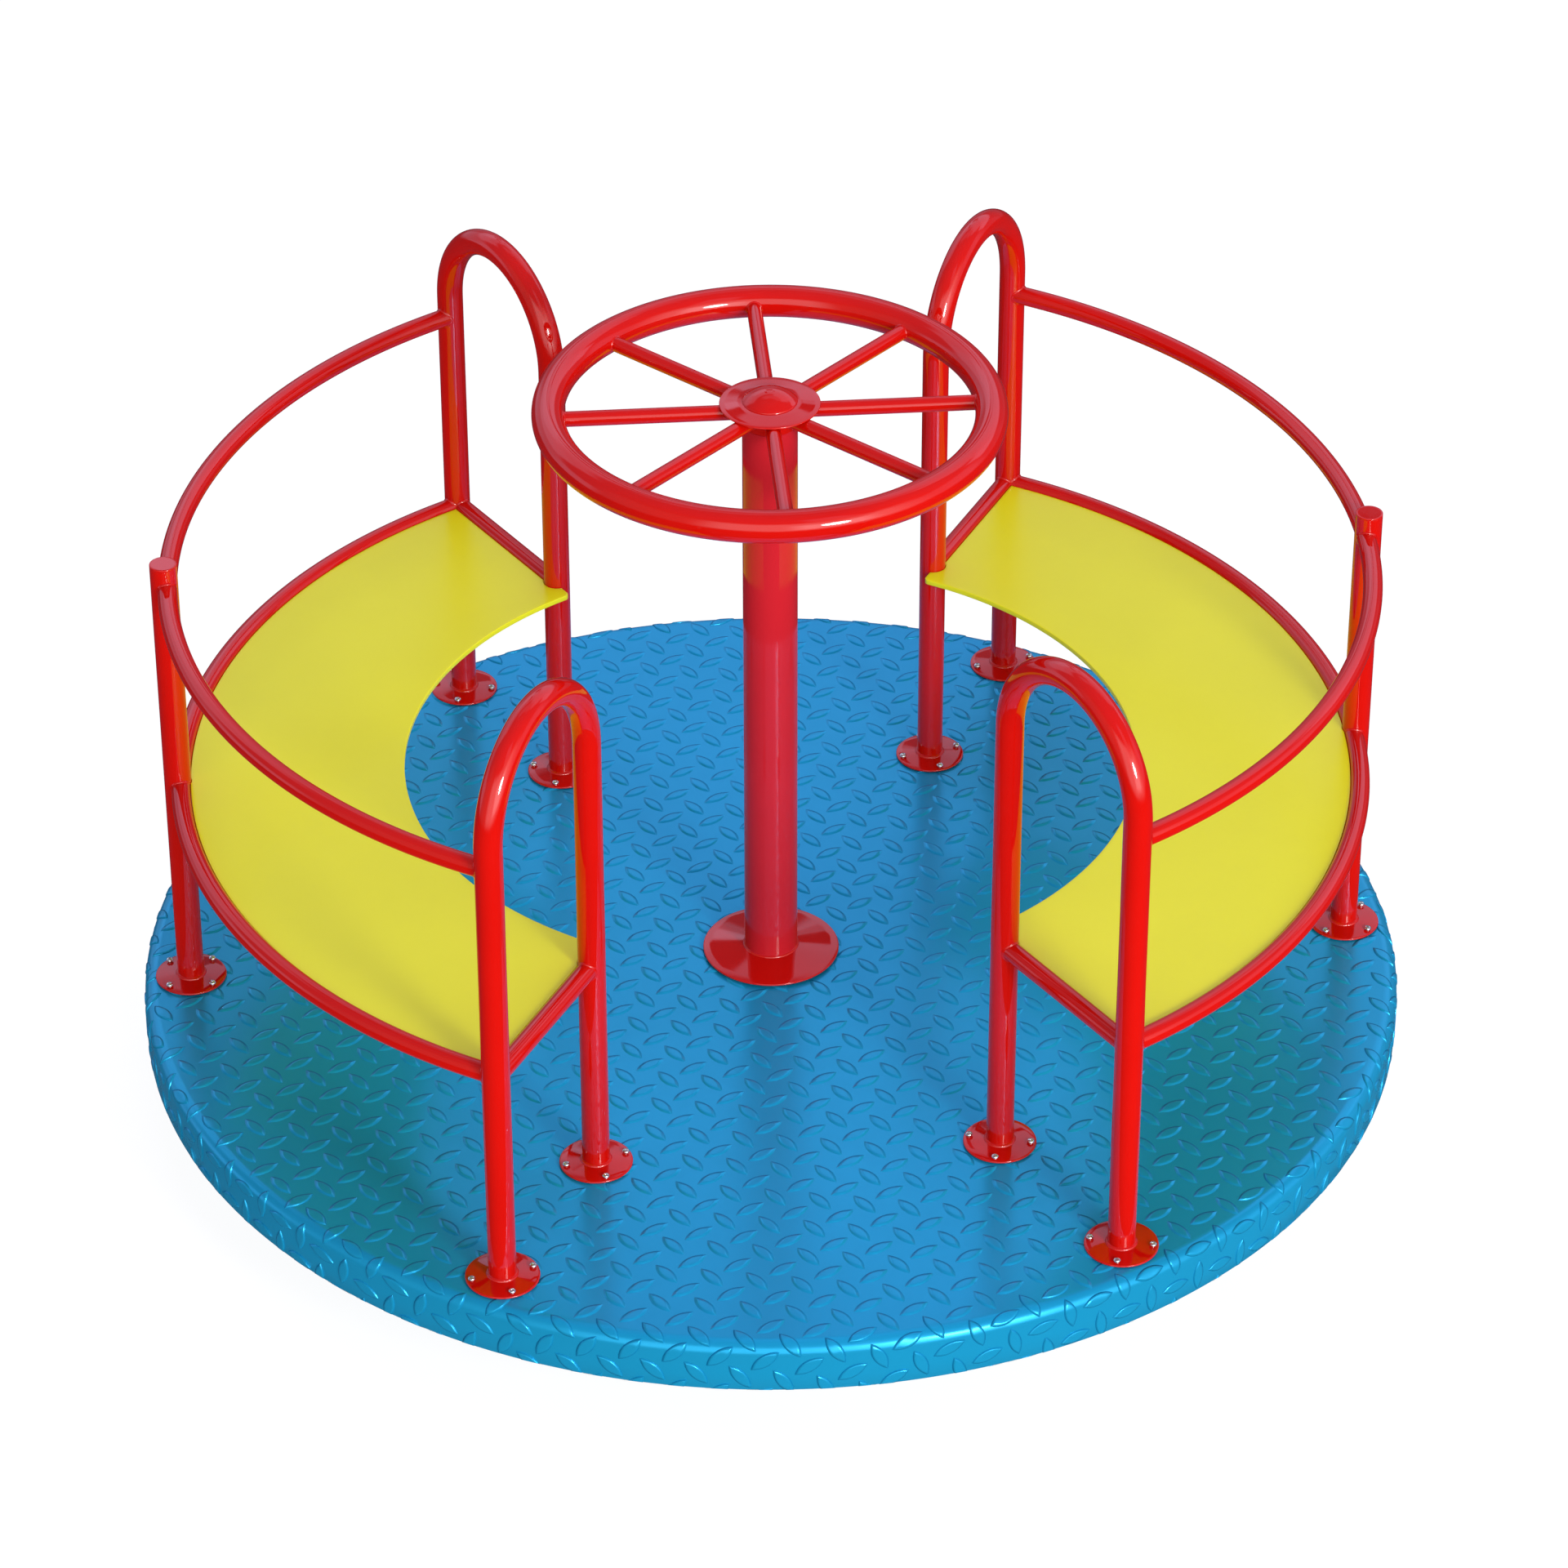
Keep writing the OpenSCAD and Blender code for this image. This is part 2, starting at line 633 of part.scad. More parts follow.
module seat_screws() {
  zt = seat_z - seat_t / 2;
  color(STEEL) for (a = post_a) for (b = brk_a) for (p = brk_pts) rotate([0, 0, a + b])
    translate([p[0], p[1], zt]) union() {
      translate([0, 0, -4 - 4]) cylinder(d = 10 / cos(30), h = 4, $fn = 6);
      translate([0, 0, -5]) cylinder(d = 6, h = 10, $fn = 24);
    }
}

base_plate();
base_gussets();
bearing_carrier();
column();
lower_inner_race();
upper_inner_race();
inner_spacer();
lock_washer();
lock_nut();
column_cover();
column_insert();
wheel_hub();
wheel_key();
wheel_rim();
wheel_spokes();
hub_disc();
hub_washer();
hub_bolt();
dome_cap();
lower_balls();
lower_ball_cage();
upper_balls();
upper_ball_cage();
hub_tube();
hub_ring_plate();
lower_outer_race();
upper_outer_race();
bearing_shields();
lower_hub_seal();
upper_hub_seal();
grease_nipple();
radial_beams();
deck_ribs();
rim_ring();
nut_plates();
deck();
deck_rim();
hoop_front_left();
hoop_front_right();
hoop_rear_left();
hoop_rear_right();
leg_flanges();
mid_post_left();
mid_post_right();
post_caps();
back_rail_left();
back_rail_right();
seat_rail_left();
seat_rail_right();
end_rails();
seat_left();
seat_right();
seat_brackets();
seat_screws();
flange_screws();
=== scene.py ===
import json
import math

import bmesh
import bpy
import numpy as np
from mathutils import Matrix, Vector


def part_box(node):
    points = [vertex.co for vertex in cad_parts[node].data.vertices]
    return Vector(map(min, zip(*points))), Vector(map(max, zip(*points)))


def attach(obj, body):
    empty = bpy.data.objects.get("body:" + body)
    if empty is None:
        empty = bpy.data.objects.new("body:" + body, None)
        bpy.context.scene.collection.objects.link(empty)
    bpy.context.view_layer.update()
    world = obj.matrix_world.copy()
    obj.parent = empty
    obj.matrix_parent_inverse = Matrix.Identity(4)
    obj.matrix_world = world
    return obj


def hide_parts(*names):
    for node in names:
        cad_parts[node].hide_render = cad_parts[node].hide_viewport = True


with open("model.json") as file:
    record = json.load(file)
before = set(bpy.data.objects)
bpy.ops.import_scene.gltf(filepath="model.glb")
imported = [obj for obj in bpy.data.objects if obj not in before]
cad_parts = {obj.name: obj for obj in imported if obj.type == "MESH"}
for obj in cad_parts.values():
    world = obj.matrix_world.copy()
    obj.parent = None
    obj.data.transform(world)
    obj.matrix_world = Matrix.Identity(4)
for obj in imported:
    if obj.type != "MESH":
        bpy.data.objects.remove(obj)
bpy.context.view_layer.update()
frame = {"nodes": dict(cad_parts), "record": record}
NODES = frame["nodes"]
MM = 0.001
PLAT, BASE = "platform", "base"

# ---------------------------------------------------------------- sizes ----
# some taken from the imported nodes' boxes, the others given, in millimetres


def node_box(name):
    lo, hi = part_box(name)
    return np.array(lo) * 1000, np.array(hi) * 1000


deck_lo, deck_hi = node_box("deck_rim")
DECK_Z = float(deck_hi[2])
DECK_R = float(deck_hi[0])
SKIRT_Z = float(deck_lo[2])
RIM_R = 20.0
DECK_T = 4.0
HOLE_R = 60.0
BAR_H = 1.25
TUBE_R = 19.0
OUT_R, IN_R = 832.0, 556.0
HOOP_MID, HOOP_HALF = (OUT_R + IN_R) / 2, (OUT_R - IN_R) / 2
HOOP_TOP = float(node_box("hoop_rear_right")[1][2])
BEND_Z = HOOP_TOP - HOOP_HALF - TUBE_R
RAIL_Q, RAIL_R = 13.45, 828.0
BACK_Z = float(node_box("back_rail_left")[1][2]) - RAIL_Q
SEAT_Z = float(node_box("seat_rail_left")[1][2]) - RAIL_Q
SEAT_LO = float(node_box("seat_left")[0][2])
SEAT_HI = float(node_box("seat_left")[1][2])
POST_TOP = float(node_box("post_caps")[1][2])
WHEEL_R, WHEEL_Q = 301.0, 22.5
WHEEL_Z = float(node_box("wheel_rim")[1][2]) - WHEEL_Q
SPOKE_Q = 10.65
SPOKE_Z = WHEEL_Z - 1
COL_R = 38.05
COL_LO, COL_HI = float(node_box("column")[0][2]), float(node_box("column")[1][2])
COVER_R = 97.5
COVER_Z = float(node_box("column_cover")[0][2])
DISC_R = 69.0
DISC_Z = float(node_box("hub_disc")[0][2])
DOME_Z, DOME_TOP = float(node_box("dome_cap")[0][2]), float(node_box("dome_cap")[1][2])
LEGS = (60, 120, 240, 300)
FEET = [(OUT_R, a) for a in LEGS] + [(IN_R, a) for a in LEGS] + [(OUT_R, 0), (OUT_R, 180)]
FL_R, FL_RIM, FL_TOP = 50.5, 3.2, 6.0
SCREW_PR = 43.0
FL_SLOPE = (FL_TOP - FL_RIM) / (FL_R - TUBE_R)
SCREW_SEAT = FL_TOP - (SCREW_PR - TUBE_R) * FL_SLOPE


# ------------------------------------------------------------- mesh tools ----
def rot(a):
    c, s = math.cos(math.radians(a)), math.sin(math.radians(a))
    return np.array([[c, -s, 0], [s, c, 0], [0, 0, 1.0]])


def grid(nr, nc, close_r=False, close_c=False):
    """Quads of a grid of nr rows and nc columns of points."""
    i = np.arange(nr if close_r else nr - 1)[:, None]
    j = np.arange(nc if close_c else nc - 1)[None, :]
    i2, j2 = (i + 1) % nr, (j + 1) % nc
    q = np.stack(np.broadcast_arrays(i * nc + j, i * nc + j2, i2 * nc + j2, i2 * nc + j), -1)
    return q.reshape(-1, 4).tolist()


class Shell:
    """Gathers closed shells of one piece, in millimetres."""

    def __init__(self):
        self.v, self.f, self.n = [], [], 0

    def add(self, v, f):
        v = np.asarray(v, float).reshape(-1, 3)
        k = self.n
        self.v.append(v)
        self.f += [[i + k for i in face] for face in f]
        self.n += len(v)
        return self

    def copies(self, v, f, places):
        """v at each (3x3 matrix, offset)."""
        for m, t in places:
            self.add(v @ m.T + np.asarray(t), f)
        return self

    def make(self, name, mat, body, slot, replaces=(), sharp=35, fix=True):
        me = bpy.data.meshes.new(name)
        v = np.concatenate(self.v) * MM
        me.from_pydata(v.tolist(), [], self.f)
        me.update()
        if fix:
            bm = bmesh.new()
            bm.from_mesh(me)
            bmesh.ops.recalc_face_normals(bm, faces=bm.faces)
            bm.to_mesh(me)
            bm.free()
        me.materials.append(mat)
        me.shade_smooth()
        me.set_sharp_from_angle(angle=math.radians(sharp))
        o = bpy.data.objects.new(name, me)
        bpy.context.scene.collection.objects.link(o)
        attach(o, body)
        if replaces:
            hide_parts(*replaces)
        return o


def lathe(profile, n, closed=True):
    """Revolves (r, z) points about Z. A closed profile makes a ring; an open one starts and ends on the axis."""
    p = np.array(profile, float)
    a = np.arange(n) * 2 * math.pi / n
    if closed:
        v = np.stack([p[:, None, 0] * np.cos(a), p[:, None, 0] * np.sin(a),
                      np.repeat(p[:, 1:2], n, 1)], -1).reshape(-1, 3)
        return v, grid(len(p), n, close_r=True, close_c=True)
    mid = p[1:-1]
    v = np.stack([mid[:, None, 0] * np.cos(a), mid[:, None, 0] * np.sin(a),
                  np.repeat(mid[:, 1:2], n, 1)], -1).reshape(-1, 3)
    f = grid(len(mid), n, close_c=True)
    k = len(v)
    v = np.concatenate([v, [[0, 0, p[0, 1]], [0, 0, p[-1, 1]]]])
    last = (len(mid) - 1) * n
    for i in range(n):
        j = (i + 1) % n
        f.append([k, j, i])
        f.append([k + 1, last + i, last + j])
    return v, f


def arc(cx, cz, r, a0, a1, n):
    t = np.radians(np.linspace(a0, a1, n))
    return [(cx + r * math.cos(x), cz + r * math.sin(x)) for x in t]


def tube(path, side, up, r, n=48, close=False):
    """Sweeps a circle along path; side and up are the cross-section's axes at each point."""
    a = np.arange(n) * 2 * math.pi / n
    path, side, up = (np.asarray(x, float) for x in (path, side, up))
    r = np.broadcast_to(np.asarray(r, float), (len(path),))
    v = (path[:, None] + (r[:, None, None] * (np.cos(a)[None, :, None] * side[:, None]
         + np.sin(a)[None, :, None] * up[:, None])))
    f = grid(len(path), n, close_r=close, close_c=True)
    if not close:
        f.append(list(range(n)))
        f.append(list(range((len(path) - 1) * n, len(path) * n)))
    return v.reshape(-1, 3), f


def unit(v):
    return v / np.linalg.norm(v, axis=-1, keepdims=True)


def bead(P, n1, n2, r, ripple=0.05, pitch=2.6, sink=0.5):
    """A fillet weld along the closed curve P, between surfaces whose outward normals are n1 and n2."""
    P, n1, n2 = (np.asarray(x, float) for x in (P, n1, n2))
    n1, n2 = unit(n1), unit(n2)
    t1 = unit(n2 - (n2 * n1).sum(1, keepdims=True) * n1)
    t2 = unit(n1 - (n1 * n2).sum(1, keepdims=True) * n2)
    s = np.concatenate([[0], np.cumsum(np.linalg.norm(np.diff(P, axis=0), axis=1))])
    total = s[-1] + np.linalg.norm(P[0] - P[-1])
    k = max(1, round(total / pitch))
    w = 1 + ripple * np.sin(2 * math.pi * k * s / total)
    rr = (r * w)[:, None]
    rows = [P - sink * unit(n1 + n2), P + rr * t1 - 0.15 * n1, P + rr * (0.86 * t1 + 0.25 * t2),
            P + rr * (0.60 * t1 + 0.60 * t2), P + rr * (0.25 * t1 + 0.86 * t2), P + rr * t2 - 0.15 * n2]
    v = np.stack(rows, 1)
    return v.reshape(-1, 3), grid(len(P), len(rows), close_r=True, close_c=True)


# --------------------------------------------------------------- materials ----
def node(nt, kind, x=0, y=0, **props):
    n = nt.nodes.new(kind)
    n.location = (x, y)
    for k, v in props.items():
        setattr(n, k, v)
    return n


def ramp_value(nt, src, lo, hi, fmin=0.3, fmax=0.7):
    m = node(nt, "ShaderNodeMapRange")
    m.inputs["From Min"].default_value = fmin
    m.inputs["From Max"].default_value = fmax
    m.inputs["To Min"].default_value = lo
    m.inputs["To Max"].default_value = hi
    nt.links.new(src, m.inputs["Value"])
    return m.outputs["Result"]


def noise(nt, vec, scale, detail=2.0, rough=0.5, distortion=0.0):
    n = node(nt, "ShaderNodeTexNoise")
    n.inputs["Scale"].default_value = scale
    n.inputs["Detail"].default_value = detail
    n.inputs["Roughness"].default_value = rough
    n.inputs["Distortion"].default_value = distortion
    nt.links.new(vec, n.inputs["Vector"])
    return n.outputs["Fac"]


def mix_color(nt, fac, a, b):
    m = node(nt, "ShaderNodeMix", data_type="RGBA")
    for key, val in (("A_Color", a), ("B_Color", b)):
        sock = next(s for s in m.inputs if s.identifier == key)
        if isinstance(val, (tuple, list)):
            sock.default_value = (*val[:3], 1)
        else:
            nt.links.new(val, sock)
    sock = next(s for s in m.inputs if s.identifier == "Factor_Float")
    if isinstance(fac, (int, float)):
        sock.default_value = fac
    else:
        nt.links.new(fac, sock)
    return next(s for s in m.outputs if s.identifier == "Result_Color")


def math_node(nt, op, a, b=None, c=None):
    m = node(nt, "ShaderNodeMath", operation=op)
    for i, x in enumerate((a, b, c)):
        if x is None:
            continue
        if isinstance(x, (int, float)):
            m.inputs[i].default_value = x
        else:
            nt.links.new(x, m.inputs[i])
    return m.outputs[0]


def finish_material(name, dark, light, rough, scale=6.0, fine=900.0, bump=0.00002, metallic=0.0,
                    coat=0.0, coat_rough=0.1, ior=1.5, streak=None, peel=(260.0, 0.00001), spec=0.5,
                    aniso=0.0, rise=0.0):
    """A surface whose colour wanders between dark and light, whose roughness wanders in rough, and whose fine grain is a bump."""
    m = bpy.data.materials.new(name)
    m.use_nodes = True
    nt = m.node_tree
    p = nt.nodes["Principled BSDF"]
    tc = node(nt, "ShaderNodeTexCoord").outputs["Object"]
    vec = tc
    if streak:
        mp = node(nt, "ShaderNodeMapping")
        mp.inputs["Scale"].default_value = streak
        nt.links.new(tc, mp.inputs["Vector"])
        vec = mp.outputs["Vector"]
    big = noise(nt, tc, scale, 4.0, 0.6)
    nt.links.new(mix_color(nt, ramp_value(nt, big, 0, 1), dark, light), p.inputs["Base Color"])
    mid = noise(nt, vec, scale * 9, 5.0, 0.62)
    nt.links.new(ramp_value(nt, mid, rough[0], rough[1]), p.inputs["Roughness"])
    grain = noise(nt, vec, fine, 2.0, 0.5)
    wave = noise(nt, tc, peel[0], 1.0, 0.4)
    h = math_node(nt, "ADD", math_node(nt, "MULTIPLY", grain, bump * 1e4),
                  math_node(nt, "MULTIPLY", wave, peel[1] * 1e4))
    if rise:                                 # sharpens the flanks of the pressed bars
        flank = node(nt, "ShaderNodeAttribute", attribute_name="rise").outputs["Fac"]
        h = math_node(nt, "MULTIPLY_ADD", flank, rise * 1e4, h)
    b = node(nt, "ShaderNodeBump")
    b.inputs["Strength"].default_value = 1.0
    b.inputs["Distance"].default_value = 1e-4
    nt.links.new(h, b.inputs["Height"])
    nt.links.new(b.outputs["Normal"], p.inputs["Normal"])
    p.inputs["Metallic"].default_value = metallic
    p.inputs["IOR"].default_value = ior
    p.inputs["Specular IOR Level"].default_value = spec
    p.inputs["Coat Weight"].default_value = coat
    p.inputs["Coat Roughness"].default_value = coat_rough
    if aniso:
        p.inputs["Anisotropic"].default_value = aniso
    return m


RED = finish_material("red_gloss_paint", (0.525, 0.0032, 0.0012), (0.560, 0.0040, 0.0017), (0.030, 0.060),
                      scale=5, fine=1500, bump=0.0000004, ior=1.54, peel=(120.0, 0.000004))
# the column's base colour carries a painted blue reflection of the deck: extra green and blue over the hoops' red, with
# a weaker specular (IOR 1.33) so the real reflection of the deck shows less
COLUMN_RED_WITH_PAINTED_REFLECTION = finish_material("red_column_paint_painted_blue_reflection", (0.500, 0.0130, 0.0220), (0.535, 0.0145, 0.0240), (0.030, 0.060),
                             scale=5, fine=1500, bump=0.0000004, ior=1.33, peel=(120.0, 0.000004))
BLUE = finish_material("blue_tread_paint", (0.010, 0.338, 0.610), (0.011, 0.358, 0.650), (0.21, 0.26),
                       scale=3.5, fine=900, bump=0.0000006, metallic=0.40, peel=(60.0, 0.000005), spec=0.25, rise=0.0014)
YELLOW = finish_material("yellow_seat_board", (0.735, 0.700, 0.005), (0.765, 0.730, 0.006), (0.28, 0.32),
                         scale=4, fine=1300, bump=0.0000010, peel=(60.0, 0.000004))
STEEL = finish_material("bright_steel", (0.66, 0.66, 0.67), (0.80, 0.80, 0.81), (0.14, 0.26), scale=60,
                        fine=2200, bump=0.000002, metallic=1.0)
ZINC = finish_material("hot_dip_zinc", (0.42, 0.44, 0.46), (0.60, 0.62, 0.64), (0.34, 0.55), scale=22,
                       fine=500, bump=0.00001, metallic=0.85)
GROUND = finish_material("ground_bearing_steel", (0.55, 0.55, 0.57), (0.66, 0.66, 0.68), (0.10, 0.20),
                         scale=30, fine=2500, bump=0.000001, metallic=1.0)
BRASS = finish_material("turned_brass", (0.62, 0.40, 0.13), (0.75, 0.52, 0.20), (0.18, 0.32), scale=30,
                        fine=1500, bump=0.000003, metallic=1.0)
RUBBER = finish_material("seal_rubber", (0.016, 0.016, 0.017), (0.030, 0.030, 0.031), (0.55, 0.75),
                         scale=40, fine=1800, bump=0.00001)

BY_SLOT = {"red_paint": RED, "blue_paint": BLUE, "yellow_board": YELLOW, "stainless": STEEL,
           "bearing_steel": GROUND, "brass": BRASS, "seal_rubber": RUBBER, "galvanised": ZINC}
for part in frame["record"]["subparts"]:
    o = NODES[part["node"]]
    o.data.materials.clear()
    o.data.materials.append(BY_SLOT[part["material_slot"]])
    for poly in o.data.polygons:
        poly.material_index = 0

# -------------------------------------------------------------------- deck ----
BASE_Z = DECK_Z - BAR_H                     # plate surface between the bars
BEND_R = RIM_R - BAR_H
BEND_C = DECK_R - RIM_R
prof = [(HOLE_R + 0.6, DECK_Z - DECK_T), (HOLE_R, DECK_Z - DECK_T + 0.6), (HOLE_R, BASE_Z - 0.6),
        (HOLE_R + 0.6, BASE_Z)]
prof += [(r, BASE_Z) for r in (70, 140, 230, 330, 430, 530, 630, 730, 820, BEND_C - 1.0)]
prof += arc(BEND_C, DECK_Z - RIM_R, BEND_R, 90, 0, 17)
prof += [(DECK_R - BAR_H, DECK_Z - 45), (DECK_R - BAR_H, SKIRT_Z + 0.7),
         (DECK_R - BAR_H - 0.7, SKIRT_Z), (DECK_R - DECK_T + 0.7, SKIRT_Z),
         (DECK_R - DECK_T, SKIRT_Z + 0.7), (DECK_R - DECK_T, DECK_Z - RIM_R)]
prof += arc(BEND_C, DECK_Z - RIM_R, RIM_R - DECK_T, 0, 90, 9)[1:]
prof += [(r, DECK_Z - DECK_T) for r in (700, 500, 300, 150)]
deck = Shell()
deck.add(*lathe(prof, 720))
deck.make("deck_plate", BLUE, PLAT, "blue_paint", ["deck", "deck_rim"], sharp=50)

# raised lens-shaped bars of the tread plate, bent over the rim with the plate
PITCH, A1 = 61.08, math.radians(-12.104)
E1 = np.array([math.cos(A1), math.sin(A1)])
E2 = np.array([-E1[1], E1[0]])
BARS = ((0.852, 0.098, 45.0), (0.350, 0.598, -45.0))
BAR_N = 15                                  # points along one side of a lens
# inset and height of the bars' flanks: soft on the trodden face, crisper on the bend and the skirt
STEPS = ((0.0, -0.25), (0.0, 0.02), (0.35, 0.14), (1.1, 0.42), (2.0, 0.75), (2.9, 1.03), (3.8, 1.19), (5.0, BAR_H))
CRISP = ((0.0, -0.25), (0.0, 0.05), (0.2, 0.28), (0.75, 0.74), (1.35, 1.05), (2.1, 1.18), (3.0, 1.23), (4.2, BAR_H))


def lens(length, width, n):
    a, b = length / 2, width / 2
    rad = (a * a + b * b) / (2 * b)
    t = a * np.sin(np.linspace(-math.pi / 2, math.pi / 2, n))
    y = np.sqrt(np.maximum(rad * rad - t * t, 0)) - (rad - b)
    return np.concatenate([np.stack([t, -y], 1), np.stack([t[::-1], y[::-1]], 1)[1:-1]])


def on_plate(x, y, h):
    """A point of the flat pattern, carried over the rim's bend and down the skirt, h above the plate."""
    r, th = np.hypot(x, y), np.arctan2(y, x)
    s = np.clip(r - BEND_C, None, RIM_R * math.pi / 2 + DECK_Z - RIM_R - SKIRT_Z - 0.05)
    q = RIM_R * math.pi / 2
    phi = np.clip(s, 0, q) / RIM_R
    if h > 0:                                # the bars die out just above the cut edge
        h = h * np.clip((q + DECK_Z - RIM_R - SKIRT_Z - s) / 6.0, 0.02, 1)
    rad = np.where(s < 0, r, BEND_C + (BEND_R + h) * np.sin(phi))
    z = np.where(s < 0, BASE_Z + h, DECK_Z - RIM_R + (BEND_R + h) * np.cos(phi) - np.maximum(s - q, 0))
    return np.stack([rad * np.cos(th), rad * np.sin(th), z], -1)


outlines, crisp = ([(lens(48.5 * (1 - t / 9.5) ** 0.8, 19 - 2 * t, BAR_N), h) for t, h in steps]
                   for steps in (STEPS, CRISP))
m = len(outlines[0][0])
bar_f = grid(len(STEPS), m, close_c=True)
bar_f += [list(range(m))]
# the flat top is two rows of quads between the sides, so that it shades flat
top = (len(STEPS) - 1) * m
half = BAR_N
for i in range(half - 1):
    a, b = top + i, top + i + 1
    c, d = top + (m - i - 1) % m, top + (m - i) % m
    face = [a, b, c, d] if i else [a, b, c]
    if i == half - 2:
        face = [a, b, d]
    bar_f.append(face)
bars, rise = Shell(), []
limit = BEND_C + RIM_R * math.pi / 2 + DECK_Z - RIM_R - SKIRT_Z
for i in range(-17, 18):
    for j in range(-17, 18):
        for u, v, ang in BARS:
            c = PITCH * ((i + u) * E1 + (j + v) * E2)
            rc = np.hypot(*c)
            if rc > limit + 22 or rc < 86:
                continue
            ca, sa = math.cos(A1 + math.radians(ang)), math.sin(A1 + math.radians(ang))
            far = np.hypot(c[0] + outlines[0][0][:, 0] * ca - outlines[0][0][:, 1] * sa,
                           c[1] + outlines[0][0][:, 0] * sa + outlines[0][0][:, 1] * ca)
            if far.min() > limit - 1.0:
                continue
            pts = [on_plate(c[0] + o[:, 0] * ca - o[:, 1] * sa, c[1] + o[:, 0] * sa + o[:, 1] * ca, h)
                   for o, h in (crisp if rc > BEND_C - 12 else outlines)]
            bars.add(np.concatenate(pts), bar_f)
            rise.append(1.6 if rc > BEND_C - 12 else 1.0)
bars_mesh = bars.make("deck_tread_bars", BLUE, PLAT, "blue_paint", sharp=60).data
rings = np.repeat([max(h, 0.0) / BAR_H for t, h in STEPS], m)
bars_mesh.attributes.new("rise", "FLOAT", "POINT").data.foreach_set(
    "value", np.outer(rise, rings).ravel().astype(np.float32))

# ------------------------------------------------------------ hoops, posts ----
for a, name in zip(LEGS, ("rear_right", "rear_left", "front_left", "front_right")):
    t = np.radians(np.linspace(0, 180, 73))
    path = [[OUT_R, 0, DECK_Z], [OUT_R, 0, DECK_Z + 250], [OUT_R, 0, BEND_Z - 40]]
    side = [[1, 0, 0]] * 3
    path += [[HOOP_MID + HOOP_HALF * math.cos(x), 0, BEND_Z + HOOP_HALF * math.sin(x)] for x in t]
    side += [[math.cos(x), 0, math.sin(x)] for x in t]
    path += [[IN_R, 0, BEND_Z - 40], [IN_R, 0, DECK_Z + 250], [IN_R, 0, DECK_Z]]
    side += [[-1, 0, 0]] * 3
    up = [[0, 1, 0]] * len(path)
    v, f = tube(np.array(path) @ rot(a).T, np.array(side) @ rot(a).T, np.array(up) @ rot(a).T, TUBE_R, 56)
    Shell().add(v, f).make(f"hoop_tube_{name}", RED, PLAT, "red_paint", [f"hoop_{name}"])

for a, name in ((0, "right"), (180, "left")):
    zt = POST_TOP
    prof = [(TUBE_R - 2.6, DECK_Z), (TUBE_R, DECK_Z), (TUBE_R, DECK_Z + 250), (TUBE_R, zt - 2.9),
            (TUBE_R - 0.35, zt - 2.5), (TUBE_R - 2.6, zt - 2.5)]
    v, f = lathe(prof, 56)
    s = Shell().copies(v, f, [(rot(a), rot(a) @ [OUT_R, 0, 0])])
    s.make(f"mid_post_tube_{name}", RED, PLAT, "red_paint", [f"mid_post_{name}"])
prof = [(0, POST_TOP - 14), (TUBE_R - 3.6, POST_TOP - 14), (TUBE_R - 2.7, POST_TOP - 13), (TUBE_R - 2.7, POST_TOP - 2.6),
        (TUBE_R - 0.4, POST_TOP - 2.45)] + arc(TUBE_R - 1.2, POST_TOP - 1.2, 1.2, -20, 90, 8) \
    + [(TUBE_R - 3, POST_TOP), (0, POST_TOP)]
v, f = lathe(prof, 56, closed=False)
Shell().copies(v, f, [(rot(a), rot(a) @ [OUT_R, 0, 0]) for a in (0, 180)]).make(
    "post_end_caps", RED, PLAT, "red_paint", ["post_caps"])

# foot flanges, slightly conical, with a fillet weld round each tube
prof = [(TUBE_R - 0.4, 0), (FL_R - 1.6, 0)] + arc(FL_R - 1.6, 1.6, 1.6, -90, 84, 11)
prof += [(r, FL_RIM + (FL_R - r) * FL_SLOPE) for r in (FL_R - 2.4, 40, 30, 22, TUBE_R - 0.4)]
v, f = lathe(prof, 120)
fl = Shell().copies(v, f, [(rot(a), rot(a) @ [r, 0, DECK_Z]) for r, a in FEET])
fl.make("foot_flanges", RED, PLAT, "red_paint", ["leg_flanges"], sharp=50)
th = np.linspace(0, 2 * math.pi, 181)[:-1]
ring = np.stack([TUBE_R * np.cos(th), TUBE_R * np.sin(th), np.full(180, FL_TOP)], 1)
out = np.stack([np.cos(th), np.sin(th), 0 * th], 1)
v, f = bead(ring, out, [[0, 0, 1.0]] * 180, 3.0, ripple=0.05, pitch=2.6)
Shell().copies(v, f, [(rot(a), rot(a) @ [r, 0, DECK_Z]) for r, a in FEET]).make(
    "foot_welds", RED, PLAT, "red_paint", sharp=80)

# button-head screws with hex sockets, standing on plain necks
hex_r = lambda t, flat: flat / 2 / np.cos((t + math.pi / 6) % (math.pi / 3) - math.pi / 6)
n = 36
tt = np.arange(n) * 2 * math.pi / n
h0 = SCREW_SEAT + 2.6
rows = [(3.0, -6.0, 0), (3.0, h0 + 0.05, 0), (4.6, h0, 0), (5.0, h0 + 0.35, 0), (5.0, h0 + 0.9, 0),
        (4.75, h0 + 1.5, 0), (4.2, h0 + 2.25, 0), (3.5, h0 + 2.8, 0), (2.75, h0 + 3.1, 0),
        (4.1, h0 + 3.2, 1), (4.0, h0 + 3.0, 1), (4.0, h0 + 1.3, 1)]
v = []
for r, z, is_hex in rows:
    rr = hex_r(tt, r) if is_hex else np.full(n, r)
    v.append(np.stack([rr * np.cos(tt), rr * np.sin(tt), np.full(n, z)], 1))
v = np.concatenate(v)
f = grid(len(rows), n, close_c=True) + [list(range(n)), list(range((len(rows) - 1) * n, len(rows) * n))]
places = []
for r, a in FEET:
    for i in range(4):
        b = 45 + 90 * i
        places.append((rot(a + b + 17 * i), rot(a) @ (np.array([r, 0, DECK_Z]) + rot(b) @ [SCREW_PR, 0, 0])))
Shell().copies(v, f, places).make("foot_screws", STEEL, PLAT, "stainless", ["flange_screws"], sharp=38)


